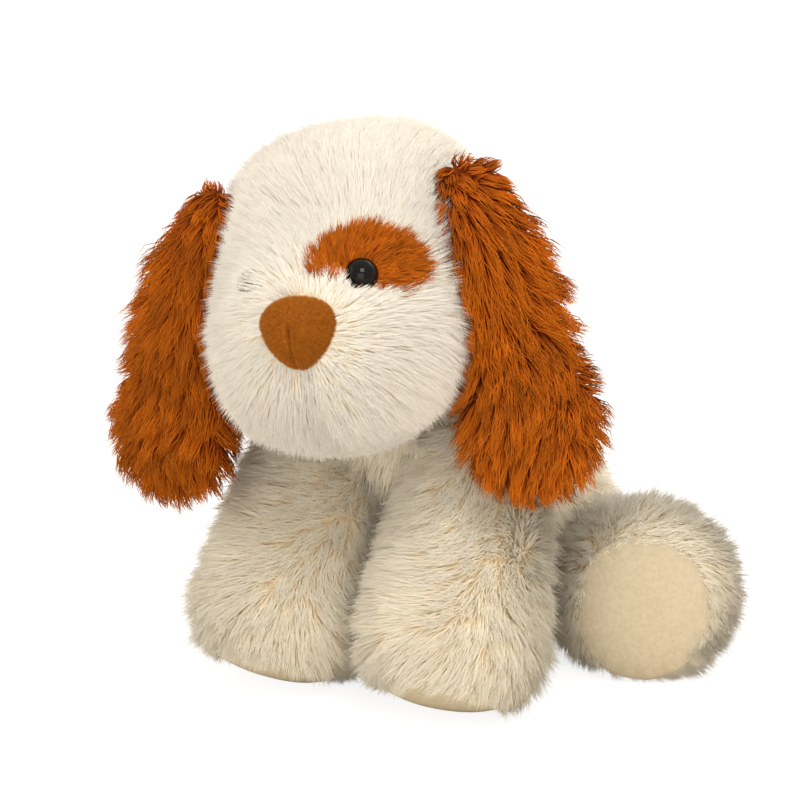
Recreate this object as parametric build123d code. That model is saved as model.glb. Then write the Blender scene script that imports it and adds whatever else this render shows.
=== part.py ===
"""Sitting plush puppy: sewn fur covers over loose polyester filling.

The frame is in millimetres with +Z up. The dog faces -Y and its own left side is +X. The origin is the middle
of the flat patch under the rump, where the toy sits on the floor.

Every soft piece is built from balls and the cones tangent to them, so a cover and the filling inside it are the
same form at two sizes. Limbs, neck and tail start as balls that sit in pockets of the body, and the pockets are
cut to the whole swing of each limb.
"""

import os
from math import asin, cos, degrees, radians, sin, sqrt

from build123d import *

# ---------------------------------------------------------------- cloth, filling and clearances
BACKING = 1.5  # knitted backing of the fur cloth
PILE = 5.5  # standing height of the fur, pressed together, above the backing
COVER = BACKING + PILE
FILL_GAP = 0.3  # between a cover and the filling in it
SEAT_GAP = 0.3  # between a sewn-on piece and what it sits on
JOINT_GAP = 1.0  # between a limb and the pocket it swings in
POCKET_EASE = 0.2  # the pocket's root ball is this much larger again
SWING_STEP = 9.0  # degrees between the limb positions that a pocket is cut to
REACH = 700.0  # size of the blocks that stand for half of space
FULL_TURN, HALF_TURN = 360.0, 180.0

# ---------------------------------------------------------------- body
RUMP_RADIUS = 66.0
SEAT_SQUASH = 4.0  # how far the rump is pressed flat by the floor
CHEST_RADIUS = 48.0
CHEST_FORWARD = 70.0
CHEST_HEIGHT = 138.0
BELLY_SEAM = 20.0  # the belly panel starts this far in front of the body's axis
PELLET_BAG_RADIUS = 20.0
PELLET_BAG_HEIGHT = 33.0
PELLET_CLOTH = 0.8

RUMP = Vector(0, 0, RUMP_RADIUS - SEAT_SQUASH)
CHEST = Vector(0, -CHEST_FORWARD, CHEST_HEIGHT)
PELLET_BAG = Vector(0, 0, PELLET_BAG_HEIGHT)

# ---------------------------------------------------------------- neck
NECK_RADIUS = 30.0
NECK_FORWARD = 90.0
NECK_HEIGHT = 173.0
NECK_THREAD = 0.4  # radius of the sewing thread
NECK_THREAD_LATITUDE = 28.0  # degrees above the neck ball's equator

NECK = Vector(0, -NECK_FORWARD, NECK_HEIGHT)

# ---------------------------------------------------------------- head, seen from the neck before it is turned
HEAD_RADIUS = 56.0  # of the cranium and of the muzzle
CRANIUM_FORWARD = 46.0
CRANIUM_RISE = 61.0
MUZZLE_FORWARD = 41.0
MUZZLE_DROP = 38.0
GUSSET_HALF_WIDTH = 16.0
HEAD_TURN = 12.0  # degrees towards the dog's left
HEAD_TILT = 8.0  # degrees, its left ear up

CRANIUM = NECK + Vector(0, -CRANIUM_FORWARD, CRANIUM_RISE)
MUZZLE = CRANIUM + Vector(0, -MUZZLE_FORWARD, -MUZZLE_DROP)
HEAD_POSE = Pos(*NECK) * Rot(0, 0, HEAD_TURN) * Rot(0, -HEAD_TILT, 0) * Pos(*(NECK * -1))

# ---------------------------------------------------------------- nose and eyes
NOSE_TOP_RADIUS = 18.0
NOSE_TIP_RADIUS = 11.0
NOSE_LENGTH = 12.0  # between the middles of the wide top and the narrow tip
NOSE_CLOTH = 1.6
NOSE_PITCH = 17.0  # degrees above level, seen from the middle of the muzzle
NOSE_STAND = -4.0  # from the fur's surface to the middle of the nose's wide top
EYE_RADIUS = 7.7
EYE_HEIGHT = 7.0
EYE_SINK = 4.5  # the eye's back lies this far under the fur's surface
EYE_PITCH = 42.0  # degrees above level, seen from the middle of the muzzle
EYE_AROUND = 30.0  # degrees aside from the middle of the face
STEM_RADIUS = 2.2
STEM_LENGTH = 11.0
STEM_CLEARANCE = 0.1
WASHER_RADIUS = 7.0
WASHER_THICKNESS = 1.6
WASHER_FIT = 0.03  # radial, between the washer and the stem that it grips
WASHER_GAP = 0.9  # the flat washer stands this far off the middle of the curved cloth
PATCH_HALF_WIDTH = 27.0
PATCH_HALF_HEIGHT = 20.0
PATCH_RISE = 7.0  # the patch's middle is this far above the eye's middle
PATCH_DEPTH = 16.0

# ---------------------------------------------------------------- ears
EAR_ROOT_RADIUS = 15.0
EAR_LOBE_RADIUS = 28.0
EAR_SPAN = 113.0  # from the middle of the root to the middle of the lobe
EAR_FLATNESS = 0.33  # thickness as a share of the width
LEFT_EAR_HANG = (8.0, 28.0)  # degrees outwards from straight down and backwards from straight across:
RIGHT_EAR_HANG = (25.0, 22.0)  # each ear hangs free from the tilted head
EAR_SIDE = 63.5
EAR_RISE = 18.0
EAR_FORWARD = 18.0

# ---------------------------------------------------------------- front legs
SHOULDER_RADIUS = 32.0
SHOULDER_SIDE = 43.0
SHOULDER_FORWARD = 85.0
SHOULDER_HEIGHT = 122.0
PAW_RADIUS = 43.0
FRONT_LEG_SLANT = 25.0  # degrees forwards from straight down
FRONT_LEG_SPLAY = 3.0  # degrees outwards
FRONT_LEG_LENGTH = 119.0  # from the shoulder to the sole's seam
FRONT_SOLE_RADIUS = 33.0
SOLE_BULGE = 8.0
FRONT_SWING = (-12.0, 15.0)

# ---------------------------------------------------------------- hind legs
HIP_RADIUS = 30.0
HIP_SIDE = 52.0
HIP_BACK = 8.0
HIP_HEIGHT = 42.0
FOOT_RADIUS = 43.0
FOOT_SIDE = 103.0
FOOT_FORWARD = 18.0
FOOT_SQUASH = 1.0
HIND_SOLE_RADIUS = 34.0
HIND_SOLE_TURN = 22.0  # degrees outwards that the sole faces
HIND_SWING = (-15.0, 20.0)

# ---------------------------------------------------------------- tail
TAIL_ROOT_RADIUS = 13.0
TAIL_TIP_RADIUS = 15.0
TAIL_BACK = 58.0
TAIL_HEIGHT = 52.0
TAIL_LENGTH = 34.0
TAIL_LIFT = 24.0  # degrees above level
TAIL_SWING = (-30.0, 30.0)



# ---------------------------------------------------------------- shapes that every piece uses
def ball(centre, radius):
    return Pos(*centre) * Sphere(radius)


def drop_profile(first_radius, second_radius, span, share=FULL_TURN):
    """Half the outline of two balls and the cone tangent to both, turned about the line through their middles."""
    slope = asin((first_radius - second_radius) / span)
    turn = degrees(slope)
    tangent = (cos(slope), sin(slope))
    outline = CenterArc((0, 0), first_radius, -90, 90 + turn)
    outline += Line(
        (first_radius * tangent[0], first_radius * tangent[1]),
        (second_radius * tangent[0], span + second_radius * tangent[1]),
    )
    outline += CenterArc((0, span), second_radius, turn, 90 - turn)
    outline += Line((0, span + second_radius), (0, -first_radius))
    return revolve(make_face(Plane.XZ * outline), Axis.Z, share)


def drop(first, first_radius, second, second_radius):
    """The drop shape of drop_profile between two points."""
    along = second - first
    return Plane(origin=first, z_dir=along) * drop_profile(first_radius, second_radius, along.length)


def half_space(point, direction):
    """Everything on the side of a point that a direction leads to."""
    return Plane(origin=point, z_dir=direction) * Pos(0, 0, REACH / 2) * Box(REACH, REACH, REACH)


def above(height):
    return half_space(Vector(0, 0, height), Vector(0, 0, 1))


def turned(shape, centre, axis, angle):
    return shape.rotate(Axis(centre, axis), angle)


def pocket(root, root_radius, tip, tip_radius, axis, swing):
    """The room a drop-shaped limb needs over its whole swing: its root ball, and copies of the rest at steps."""
    low, high = swing
    limb = drop(root, root_radius + JOINT_GAP, tip, tip_radius + JOINT_GAP) & half_space(root, tip - root)
    steps = max(1, round((high - low) / SWING_STEP))
    copies = [turned(limb, root, axis, low + (high - low) * step / steps) for step in range(steps + 1)]
    return ball(root, root_radius + JOINT_GAP + POCKET_EASE).fuse(*copies)


def mirrored(shape):
    return mirror(shape, about=Plane.YZ)


def less(shape, *cutters):
    for cutter in cutters:
        shape = shape - cutter
    return shape


# ---------------------------------------------------------------- tail
TAIL_ROOT = Vector(0, TAIL_BACK, TAIL_HEIGHT)
TAIL_LINE = Vector(0, cos(radians(TAIL_LIFT)), sin(radians(TAIL_LIFT)))
TAIL_TIP = TAIL_ROOT + TAIL_LINE * TAIL_LENGTH
TAIL_AXIS = Vector(0, 0, 1)


def tail_form(shrink):
    return drop(TAIL_ROOT, TAIL_ROOT_RADIUS - shrink, TAIL_TIP, TAIL_TIP_RADIUS - shrink)


def tail_pieces():
    cover = tail_form(0) - tail_form(COVER)
    upper_side = half_space(TAIL_ROOT, TAIL_LINE.cross(Vector(-1, 0, 0)))
    return {
        "tail_upper_panel": cover & upper_side,
        "tail_lower_panel": cover - upper_side,
        "tail_stuffing": tail_form(COVER + FILL_GAP),
    }


# ---------------------------------------------------------------- front legs
LEFT_SHOULDER = Vector(SHOULDER_SIDE, -SHOULDER_FORWARD, SHOULDER_HEIGHT)
FRONT_AXIS = Vector(-1, 0, 0)
FRONT_LEG_LINE = Vector(
    sin(radians(FRONT_LEG_SPLAY)),
    -sin(radians(FRONT_LEG_SLANT)) * cos(radians(FRONT_LEG_SPLAY)),
    -cos(radians(FRONT_LEG_SLANT)) * cos(radians(FRONT_LEG_SPLAY)),
)
LEFT_PAW = LEFT_SHOULDER + FRONT_LEG_LINE * (FRONT_LEG_LENGTH - sqrt(PAW_RADIUS**2 - FRONT_SOLE_RADIUS**2))
FRONT_SOLE = LEFT_SHOULDER + FRONT_LEG_LINE * FRONT_LEG_LENGTH


def front_leg_form(shrink):
    form = drop(LEFT_SHOULDER, SHOULDER_RADIUS - shrink, LEFT_PAW, PAW_RADIUS - shrink)
    return form - half_space(FRONT_SOLE, FRONT_LEG_LINE)


def sole_pad(centre, facing, radius):
    """A padded round sole: a low dome on the end of a leg."""
    dome_radius = (radius**2 + SOLE_BULGE**2) / (2 * SOLE_BULGE)
    dome = ball(centre + facing * (SOLE_BULGE - dome_radius), dome_radius)
    return (dome & half_space(centre, facing)) & above(0)


def leg_pieces(name, form, centre, seam_side, sole_centre, sole_facing, sole_radius):
    """A leg's two cloth panels, its filling and its sole."""
    cover = (form(0) & above(0)) - (form(COVER) & above(COVER))
    outer_side = half_space(centre, seam_side)
    filling = form(COVER + FILL_GAP) & above(COVER + FILL_GAP)
    filling = filling - half_space(sole_centre - sole_facing * FILL_GAP, sole_facing)
    return {
        f"{name}_leg_outer_panel": cover & outer_side,
        f"{name}_leg_inner_panel": cover - outer_side,
        f"{name}_leg_stuffing": filling,
        f"{name}_sole": sole_pad(sole_centre, sole_facing, sole_radius),
    }


def left_front_leg():
    outwards = FRONT_LEG_LINE.cross(FRONT_AXIS.cross(FRONT_LEG_LINE)) * -1
    return leg_pieces(
        "left_front", front_leg_form, LEFT_SHOULDER, outwards, FRONT_SOLE, FRONT_LEG_LINE, FRONT_SOLE_RADIUS
    )


# ---------------------------------------------------------------- hind legs
LEFT_HIP = Vector(HIP_SIDE, HIP_BACK, HIP_HEIGHT)
LEFT_FOOT = Vector(FOOT_SIDE, -FOOT_FORWARD, FOOT_RADIUS - FOOT_SQUASH)
HIND_AXIS = Vector(0, 0, 1)
HIND_SOLE_LINE = Vector(sin(radians(HIND_SOLE_TURN)), -cos(radians(HIND_SOLE_TURN)), 0)
HIND_SOLE = LEFT_FOOT + HIND_SOLE_LINE * sqrt(FOOT_RADIUS**2 - HIND_SOLE_RADIUS**2)


def hind_leg_form(shrink):
    form = drop(LEFT_HIP, HIP_RADIUS - shrink, LEFT_FOOT, FOOT_RADIUS - shrink)
    return form - half_space(HIND_SOLE, HIND_SOLE_LINE)


def left_hind_leg():
    leg_line = LEFT_FOOT - LEFT_HIP
    upper_side = leg_line.cross(Vector(0, 0, 1)).cross(leg_line)
    return leg_pieces(
        "left_hind", hind_leg_form, LEFT_HIP, upper_side, HIND_SOLE, HIND_SOLE_LINE, HIND_SOLE_RADIUS
    )


# ---------------------------------------------------------------- body
def body_form(shrink):
    return drop(RUMP, RUMP_RADIUS - shrink, CHEST, CHEST_RADIUS - shrink) & above(shrink)


def body_pockets():
    """What the neck, the legs and the tail take out of the body over their whole travel."""
    front = pocket(LEFT_SHOULDER, SHOULDER_RADIUS, LEFT_PAW, PAW_RADIUS, FRONT_AXIS, FRONT_SWING)
    hind = pocket(LEFT_HIP, HIP_RADIUS, LEFT_FOOT, FOOT_RADIUS, HIND_AXIS, HIND_SWING)
    tail = pocket(TAIL_ROOT, TAIL_ROOT_RADIUS, TAIL_TIP, TAIL_TIP_RADIUS, TAIL_AXIS, TAIL_SWING)
    neck = ball(NECK, NECK_RADIUS + JOINT_GAP)
    return [neck, front, mirrored(front), hind, mirrored(hind), tail]


def body_pieces():
    pockets = body_pockets()
    cover = body_form(0) - body_form(COVER)
    body_line = CHEST - RUMP
    belly_facing = Vector(1, 0, 0).cross(body_line).normalized()
    belly_side = half_space(RUMP + belly_facing * BELLY_SEAM, belly_facing)
    back = cover - belly_side
    left_side = half_space(RUMP, Vector(1, 0, 0))
    bag = ball(PELLET_BAG, PELLET_BAG_RADIUS)
    pellets = ball(PELLET_BAG, PELLET_BAG_RADIUS - PELLET_CLOTH - FILL_GAP)
    filling = body_form(COVER + FILL_GAP) - ball(PELLET_BAG, PELLET_BAG_RADIUS + FILL_GAP)
    return {
        "body_left_panel": less(back & left_side, *pockets),
        "body_right_panel": less(back - left_side, *pockets),
        "belly_panel": less(cover & belly_side, *pockets),
        "body_stuffing": less(filling, *pockets),
        "seat_pellet_bag": bag - ball(PELLET_BAG, PELLET_BAG_RADIUS - PELLET_CLOTH),
        "seat_pellets": pellets,
    }


# ---------------------------------------------------------------- neck
def neck_pieces():
    """The fur band between the body and the head, its firm filling and the ring of sewing thread."""
    ring_height = NECK_RADIUS * sin(radians(NECK_THREAD_LATITUDE))
    ring_radius = NECK_RADIUS * cos(radians(NECK_THREAD_LATITUDE))
    up_neck = CRANIUM - NECK
    ring = Plane(origin=NECK, z_dir=up_neck) * Pos(0, 0, ring_height) * Torus(ring_radius, NECK_THREAD)
    cover = ball(NECK, NECK_RADIUS) - ball(NECK, NECK_RADIUS - COVER)
    return {
        "neck_cover": cover - ring,
        "neck_seam_thread": ring,
        "neck_stuffing": ball(NECK, NECK_RADIUS - COVER - FILL_GAP),
    }


# ---------------------------------------------------------------- ears
LEFT_EAR_ROOT = CRANIUM + Vector(EAR_SIDE, -EAR_FORWARD, EAR_RISE)


def ear_form(hang, grow, start=0, share=FULL_TURN):
    """A left ear: the drop shape pressed flat to a leaf. It grows by the same amount in thickness everywhere. Half
    a turn from a start of 0 is its front layer."""
    lean, sweep = hang
    across = Vector(cos(radians(sweep)), sin(radians(sweep)), 0)
    downwards = across * sin(radians(lean)) + Vector(0, 0, -cos(radians(lean)))
    across_leaf = across * cos(radians(lean)) + Vector(0, 0, sin(radians(lean)))
    extra = grow / EAR_FLATNESS
    leaf = drop_profile(EAR_ROOT_RADIUS + extra, EAR_LOBE_RADIUS + extra, EAR_SPAN, share)
    leaf = scale(Rot(0, 0, start) * leaf, by=(1, EAR_FLATNESS, 1))
    return Plane(origin=LEFT_EAR_ROOT, x_dir=across_leaf, z_dir=downwards) * leaf


def ear_pieces():
    """Each ear is a front and a back leaf of long fur, sewn round the edge and turned out."""
    pieces = {}
    for layer, start in (("front", 0), ("back", HALF_TURN)):
        pieces[f"left_ear_{layer}_panel"] = ear_form(LEFT_EAR_HANG, 0, start, HALF_TURN)
        pieces[f"right_ear_{layer}_panel"] = mirrored(ear_form(RIGHT_EAR_HANG, 0, start, HALF_TURN))
    return pieces


def ear_rooms():
    """The hollows in the head's fur that the ears lie in."""
    return [ear_form(LEFT_EAR_HANG, SEAT_GAP), mirrored(ear_form(RIGHT_EAR_HANG, SEAT_GAP))]


# ---------------------------------------------------------------- head
def head_form(shrink):
    """A round cranium that runs forwards and down into a muzzle just as round."""
    return drop(CRANIUM, HEAD_RADIUS - shrink, MUZZLE, HEAD_RADIUS - shrink)


def nose_form(shrink):
    """A pear: wide at the top and narrow at the tip, half sunk in the fur of the muzzle."""
    outwards = Vector(0, -cos(radians(NOSE_PITCH)), sin(radians(NOSE_PITCH)))
    downwards = Vector(0, -sin(radians(NOSE_PITCH)), -cos(radians(NOSE_PITCH)))
    top = MUZZLE + outwards * (HEAD_RADIUS + NOSE_STAND)
    return drop(top, NOSE_TOP_RADIUS - shrink, top + downwards * NOSE_LENGTH, NOSE_TIP_RADIUS - shrink)


def left_eye_plane():
    """The plane of the eye's back, facing straight out of the head."""
    around, pitch = radians(EYE_AROUND), radians(EYE_PITCH)
    facing = Vector(sin(around), -cos(around) * cos(pitch), cos(around) * sin(pitch))
    return Plane(origin=MUZZLE + facing * (HEAD_RADIUS - EYE_SINK), z_dir=facing)


def eye_pieces():
    """A moulded eye: a dome on a stem that goes through the cloth, and the washer that locks on the stem."""
    dome_radius = (EYE_RADIUS**2 + EYE_HEIGHT**2) / (2 * EYE_HEIGHT)
    dome = Pos(0, 0, EYE_HEIGHT - dome_radius) * Sphere(dome_radius)
    dome = dome & half_space(Vector(0, 0, 0), Vector(0, 0, 1))
    stem = Pos(0, 0, -STEM_LENGTH / 2) * Cylinder(STEM_RADIUS, STEM_LENGTH)
    washer_top = -(COVER - EYE_SINK) - WASHER_GAP
    washer = Cylinder(WASHER_RADIUS, WASHER_THICKNESS) - Cylinder(STEM_RADIUS + WASHER_FIT, WASHER_THICKNESS)
    washer = Pos(0, 0, washer_top - WASHER_THICKNESS / 2) * washer
    place = left_eye_plane()
    return {"left_eye": place * (dome + stem), "left_eye_washer": place * washer}


def left_eye_room():
    """The room that an eye needs in the fur and the cloth, and the room for its washer in the filling."""
    place = left_eye_plane()
    pocket = Pos(0, 0, EYE_SINK) * Cylinder(EYE_RADIUS + SEAT_GAP, 2 * EYE_SINK)
    hole = Cylinder(STEM_RADIUS + STEM_CLEARANCE, 2 * COVER)
    depth = STEM_LENGTH + FILL_GAP
    washer_room = Pos(0, 0, -depth / 2) * Cylinder(WASHER_RADIUS + FILL_GAP, depth)
    return place * (pocket + hole), place * washer_room


def left_patch_block():
    """The outline of the coloured patch round the left eye, through the cover and a little deeper."""
    place = left_eye_plane()
    upright = Vector(0, 0, 1).cross(place.z_dir).normalized()
    patch_plane = Plane(origin=place.origin, x_dir=upright, z_dir=place.z_dir)
    oval = Pos(0, PATCH_RISE, 0) * Ellipse(PATCH_HALF_WIDTH, PATCH_HALF_HEIGHT)
    return patch_plane * (Pos(0, 0, -PATCH_DEPTH) * extrude(oval, 2 * PATCH_DEPTH))


def head_pieces():
    nose_seat = head_form(PILE - SEAT_GAP)
    nose_pocket = nose_form(-SEAT_GAP) - head_form(PILE)
    left_pocket, left_washer_room = left_eye_room()
    neck_room = ball(NECK, NECK_RADIUS + JOINT_GAP)
    cover = head_form(0) - head_form(COVER)
    cover = less(cover, neck_room, *ear_rooms(), nose_pocket, left_pocket, mirrored(left_pocket))
    filling = head_form(COVER + FILL_GAP)
    filling = less(filling, neck_room, left_washer_room, mirrored(left_washer_room))
    patch_block = left_patch_block()
    left_side = half_space(CRANIUM + Vector(GUSSET_HALF_WIDTH, 0, 0), Vector(1, 0, 0))
    right_side = half_space(CRANIUM - Vector(GUSSET_HALF_WIDTH, 0, 0), Vector(-1, 0, 0))
    chin_side = half_space(MUZZLE, Vector(1, 0, 0).cross(MUZZLE - NECK))
    middle = (cover - left_side) - right_side
    eye = eye_pieces()
    return {
        "face_left_panel": (cover & left_side) - patch_block,
        "face_right_panel": cover & right_side,
        "crown_gusset": (middle - chin_side) - patch_block,
        "chin_gusset": middle & chin_side,
        "eye_patch": cover & patch_block,
        "head_stuffing": filling,
        "nose_cover": (nose_form(0) - nose_form(NOSE_CLOTH)) - nose_seat,
        "nose_stuffing": nose_form(NOSE_CLOTH + FILL_GAP) - nose_seat,
        "left_eye": eye["left_eye"],
        "left_eye_washer": eye["left_eye_washer"],
        "right_eye": mirrored(eye["left_eye"]),
        "right_eye_washer": mirrored(eye["left_eye_washer"]),
    }


# ---------------------------------------------------------------- the whole toy
def both_sides(left):
    """Pieces of the dog's left side and their mirror images."""
    right = {name.replace("left_", "right_", 1): mirrored(shape) for name, shape in left.items()}
    return {**left, **right}


def pieces():
    """Every piece of the toy in its place, by name."""
    head = {**head_pieces(), **ear_pieces()}
    posed_head = {name: HEAD_POSE * shape for name, shape in head.items()}
    legs = {**both_sides(left_front_leg()), **both_sides(left_hind_leg())}
    return {**body_pieces(), **neck_pieces(), **posed_head, **legs, **tail_pieces()}


def main():
    os.makedirs("parts", exist_ok=True)
    for name, shape in pieces().items():
        export_step(shape, f"parts/{name}.step")


if __name__ == "__main__":
    main()
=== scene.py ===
import math

import bpy
import numpy as np
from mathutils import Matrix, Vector


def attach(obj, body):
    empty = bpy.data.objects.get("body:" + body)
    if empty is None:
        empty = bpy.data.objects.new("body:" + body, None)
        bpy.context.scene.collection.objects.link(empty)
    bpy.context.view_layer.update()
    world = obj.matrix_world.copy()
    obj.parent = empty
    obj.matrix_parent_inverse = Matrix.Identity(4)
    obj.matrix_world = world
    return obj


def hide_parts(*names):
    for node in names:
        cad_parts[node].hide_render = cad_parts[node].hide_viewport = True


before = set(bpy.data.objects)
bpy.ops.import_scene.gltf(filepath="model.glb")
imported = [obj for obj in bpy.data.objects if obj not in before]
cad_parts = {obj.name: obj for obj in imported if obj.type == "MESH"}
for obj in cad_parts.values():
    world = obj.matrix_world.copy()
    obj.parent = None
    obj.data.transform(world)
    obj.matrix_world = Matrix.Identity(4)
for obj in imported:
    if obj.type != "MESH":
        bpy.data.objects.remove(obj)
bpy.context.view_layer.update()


# ---------------------------------------------------------------- the room
# A pale studio: a white sweep of floor that keeps the toy's shadow, a soft lamp above its left shoulder, a
# wide one to its right and a wide low one in front that open the shadows, and one behind it for the edges.
scene = bpy.context.scene
scene.view_settings.view_transform = "Standard"

camera = bpy.data.objects.new("camera", bpy.data.cameras.new("camera"))
scene.collection.objects.link(camera)
scene.camera = camera
look_at = Vector((0.000, -0.091, 0.1455))
camera_azimuth, camera_height = math.radians(29.0), math.radians(12.5)
camera_distance = 1.25
camera.location = look_at + camera_distance * Vector((
    math.sin(camera_azimuth) * math.cos(camera_height),
    -math.cos(camera_azimuth) * math.cos(camera_height),
    math.sin(camera_height),
))
camera.rotation_euler = (look_at - camera.location).to_track_quat("-Z", "Y").to_euler()
seen_width = 0.4
camera.data.lens = camera.data.sensor_width * camera_distance / seen_width
camera.data.clip_start, camera.data.clip_end = 0.05, 20.0

toy_middle = Vector((0, -0.05, 0.12))
for name, place, size, power in (
    ("key", (0.75, -1.05, 1.35), 0.6, 10.8),
    ("fill", (-1.30, -0.90, 0.70), 1.4, 6.5),
    ("low", (0.70, -1.50, 0.35), 1.0, 7.3),
    ("rim", (0.30, 1.20, 1.20), 1.2, 8.0),
):
    lamp = bpy.data.objects.new(name, bpy.data.lights.new(name, "AREA"))
    lamp.data.size, lamp.data.energy = size, power
    lamp.location = place
    lamp.rotation_euler = (toy_middle - lamp.location).to_track_quat("-Z", "Y").to_euler()
    scene.collection.objects.link(lamp)

sky = bpy.data.worlds.new("sky")
scene.world = sky
sky.use_nodes = True
sky_nodes, sky_links = sky.node_tree.nodes, sky.node_tree.links
sky_nodes.clear()
sky_light = sky_nodes.new("ShaderNodeBackground")
sky_light.inputs["Color"].default_value = (1.0, 0.90, 0.775, 1)
sky_light.inputs["Strength"].default_value = 0.93
sky_seen = sky_nodes.new("ShaderNodeBackground")
sky_seen.inputs["Color"].default_value = (1, 1, 1, 1)
sky_seen.inputs["Strength"].default_value = 1.0
sky_path = sky_nodes.new("ShaderNodeLightPath")
sky_either = sky_nodes.new("ShaderNodeMath")
sky_either.operation = "MAXIMUM"
sky_links.new(sky_path.outputs["Is Camera Ray"], sky_either.inputs[0])
sky_links.new(sky_path.outputs["Is Glossy Ray"], sky_either.inputs[1])
sky_mix = sky_nodes.new("ShaderNodeMixShader")
sky_links.new(sky_either.outputs[0], sky_mix.inputs["Fac"])
sky_links.new(sky_light.outputs[0], sky_mix.inputs[1])
sky_links.new(sky_seen.outputs[0], sky_mix.inputs[2])
sky_links.new(sky_mix.outputs[0], sky_nodes.new("ShaderNodeOutputWorld").inputs["Surface"])

floor_mesh = bpy.data.meshes.new("floor")
floor_reach = 9
floor_corners = [(-floor_reach, -floor_reach, 0), (floor_reach, -floor_reach, 0),
                 (floor_reach, floor_reach, 0), (-floor_reach, floor_reach, 0)]
floor_mesh.from_pydata(floor_corners, [], [(0, 1, 2, 3)])
floor = bpy.data.objects.new("floor", floor_mesh)
scene.collection.objects.link(floor)
floor_paint = bpy.data.materials.new("floor_paint")
floor_paint.use_nodes = True
floor_nodes, floor_links = floor_paint.node_tree.nodes, floor_paint.node_tree.links
floor_nodes.clear()
floor_matt = floor_nodes.new("ShaderNodeBsdfDiffuse")
floor_matt.inputs["Color"].default_value = (0.90, 0.87, 0.82, 1)
floor_white = floor_nodes.new("ShaderNodeEmission")
floor_white.inputs["Color"].default_value = (1, 1, 1, 1)
floor_white.inputs["Strength"].default_value = 1.22
floor_path = floor_nodes.new("ShaderNodeLightPath")
floor_share = floor_nodes.new("ShaderNodeMath")
floor_share.operation = "MULTIPLY"
floor_share.inputs[1].default_value = 0.72
floor_mix = floor_nodes.new("ShaderNodeMixShader")
floor_links.new(floor_path.outputs["Is Camera Ray"], floor_share.inputs[0])
floor_links.new(floor_share.outputs[0], floor_mix.inputs["Fac"])
floor_links.new(floor_matt.outputs[0], floor_mix.inputs[1])
floor_links.new(floor_white.outputs[0], floor_mix.inputs[2])
floor_links.new(floor_mix.outputs[0], floor_nodes.new("ShaderNodeOutputMaterial").inputs["Surface"])
floor_mesh.materials.append(floor_paint)


# ---------------------------------------------------------------- body
# The body is a pear of knitted-back plush, two side panels and a belly panel, packed with loose polyester
# and weighted in the seat. Its pile is about 17 mm long and lies down towards the floor.
chance = np.random.default_rng(11)


def unit(vectors):
    """Each vector divided by its own length."""
    return vectors / np.maximum(np.linalg.norm(vectors, axis=-1, keepdims=True), 1e-12)


def drop_skin(form, around, along):
    """Points and outward directions on two balls and the cone tangent to both. form is (first middle, its
    radius, second middle, its radius). along runs from 0 to 1 by length down the outline: a ball's arc, the
    cone's straight line, the other ball's arc. around is the angle about the line through the two middles."""
    first, first_radius, second, second_radius = form
    first, second = np.array(first), np.array(second)
    span = np.linalg.norm(second - first)
    slope = np.arcsin((first_radius - second_radius) / span)
    arc, line = first_radius * (slope + np.pi / 2), span * np.cos(slope)
    gone = along * (arc + line + second_radius * (np.pi / 2 - slope))
    turn = -np.pi / 2 + np.clip(gone, 0, arc) / first_radius
    turn = turn + np.clip(gone - arc - line, 0, None) / second_radius
    slid = np.clip(gone - arc, 0, line)
    on_first = gone <= arc + line
    out = np.where(on_first, first_radius * np.cos(turn) - slid * np.sin(slope), second_radius * np.cos(turn))
    down = np.where(on_first, first_radius * np.sin(turn) + slid * np.cos(slope),
                    span + second_radius * np.sin(turn))
    axis = unit(second - first)
    slanting = [0.31, 0.22, 0.92] if abs(axis[2]) < 0.9 else [1.0, 0.0, 0.0]
    side = unit(np.cross(axis, slanting))
    spoke = side * np.cos(around)[..., None] + np.cross(axis, side) * np.sin(around)[..., None]
    points = first + spoke * out[..., None] + axis * down[..., None]
    return points, spoke * np.cos(turn)[..., None] + axis * np.sin(turn)[..., None]


def shaped_mesh(name, points, faces):
    """A mesh object from an array of points and an array of triangles, shaded smooth."""
    mesh = bpy.data.meshes.new(name)
    mesh.vertices.add(len(points))
    mesh.vertices.foreach_set("co", np.ascontiguousarray(points, dtype=np.float32).ravel())
    mesh.loops.add(faces.size)
    mesh.loops.foreach_set("vertex_index", np.ascontiguousarray(faces, dtype=np.int32).ravel())
    mesh.polygons.add(len(faces))
    mesh.polygons.foreach_set("loop_start", np.arange(0, faces.size, 3, dtype=np.int32))
    mesh.polygons.foreach_set("use_smooth", np.ones(len(faces), dtype=bool))
    mesh.update(calc_edges=True)
    piece = bpy.data.objects.new(name, mesh)
    scene.collection.objects.link(piece)
    return piece


def closed_grid(rows, columns):
    """Triangles of a closed bag of points: the top one, rows of columns points each, then the bottom one."""
    start = 1 + np.arange(rows - 1)[:, None] * columns
    here = np.arange(columns)[None, :]
    after = (here + 1) % columns
    a, b, c, d = start + here, start + after, start + columns + after, start + columns + here
    walls = np.concatenate([np.stack([a, b, c], -1).reshape(-1, 3), np.stack([a, c, d], -1).reshape(-1, 3)])
    ring, last = np.arange(columns), 1 + (rows - 1) * columns
    top = np.stack([np.zeros(columns, int), 1 + (ring + 1) % columns, 1 + ring], -1)
    bottom = np.stack([np.full(columns, last + columns), last + ring, last + (ring + 1) % columns], -1)
    return np.concatenate([walls, top, bottom])


def bag_points(form, rows, columns):
    """Points and outward directions of a closed bag over a drop form, for closed_grid."""
    along = np.concatenate([[0.0], np.repeat(np.arange(1, rows + 1) / (rows + 1), columns), [1.0]])
    around = np.concatenate([[0.0], np.tile(np.arange(columns) / columns * 2 * np.pi, rows), [0.0]])
    return drop_skin(form, around, along)


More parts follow.
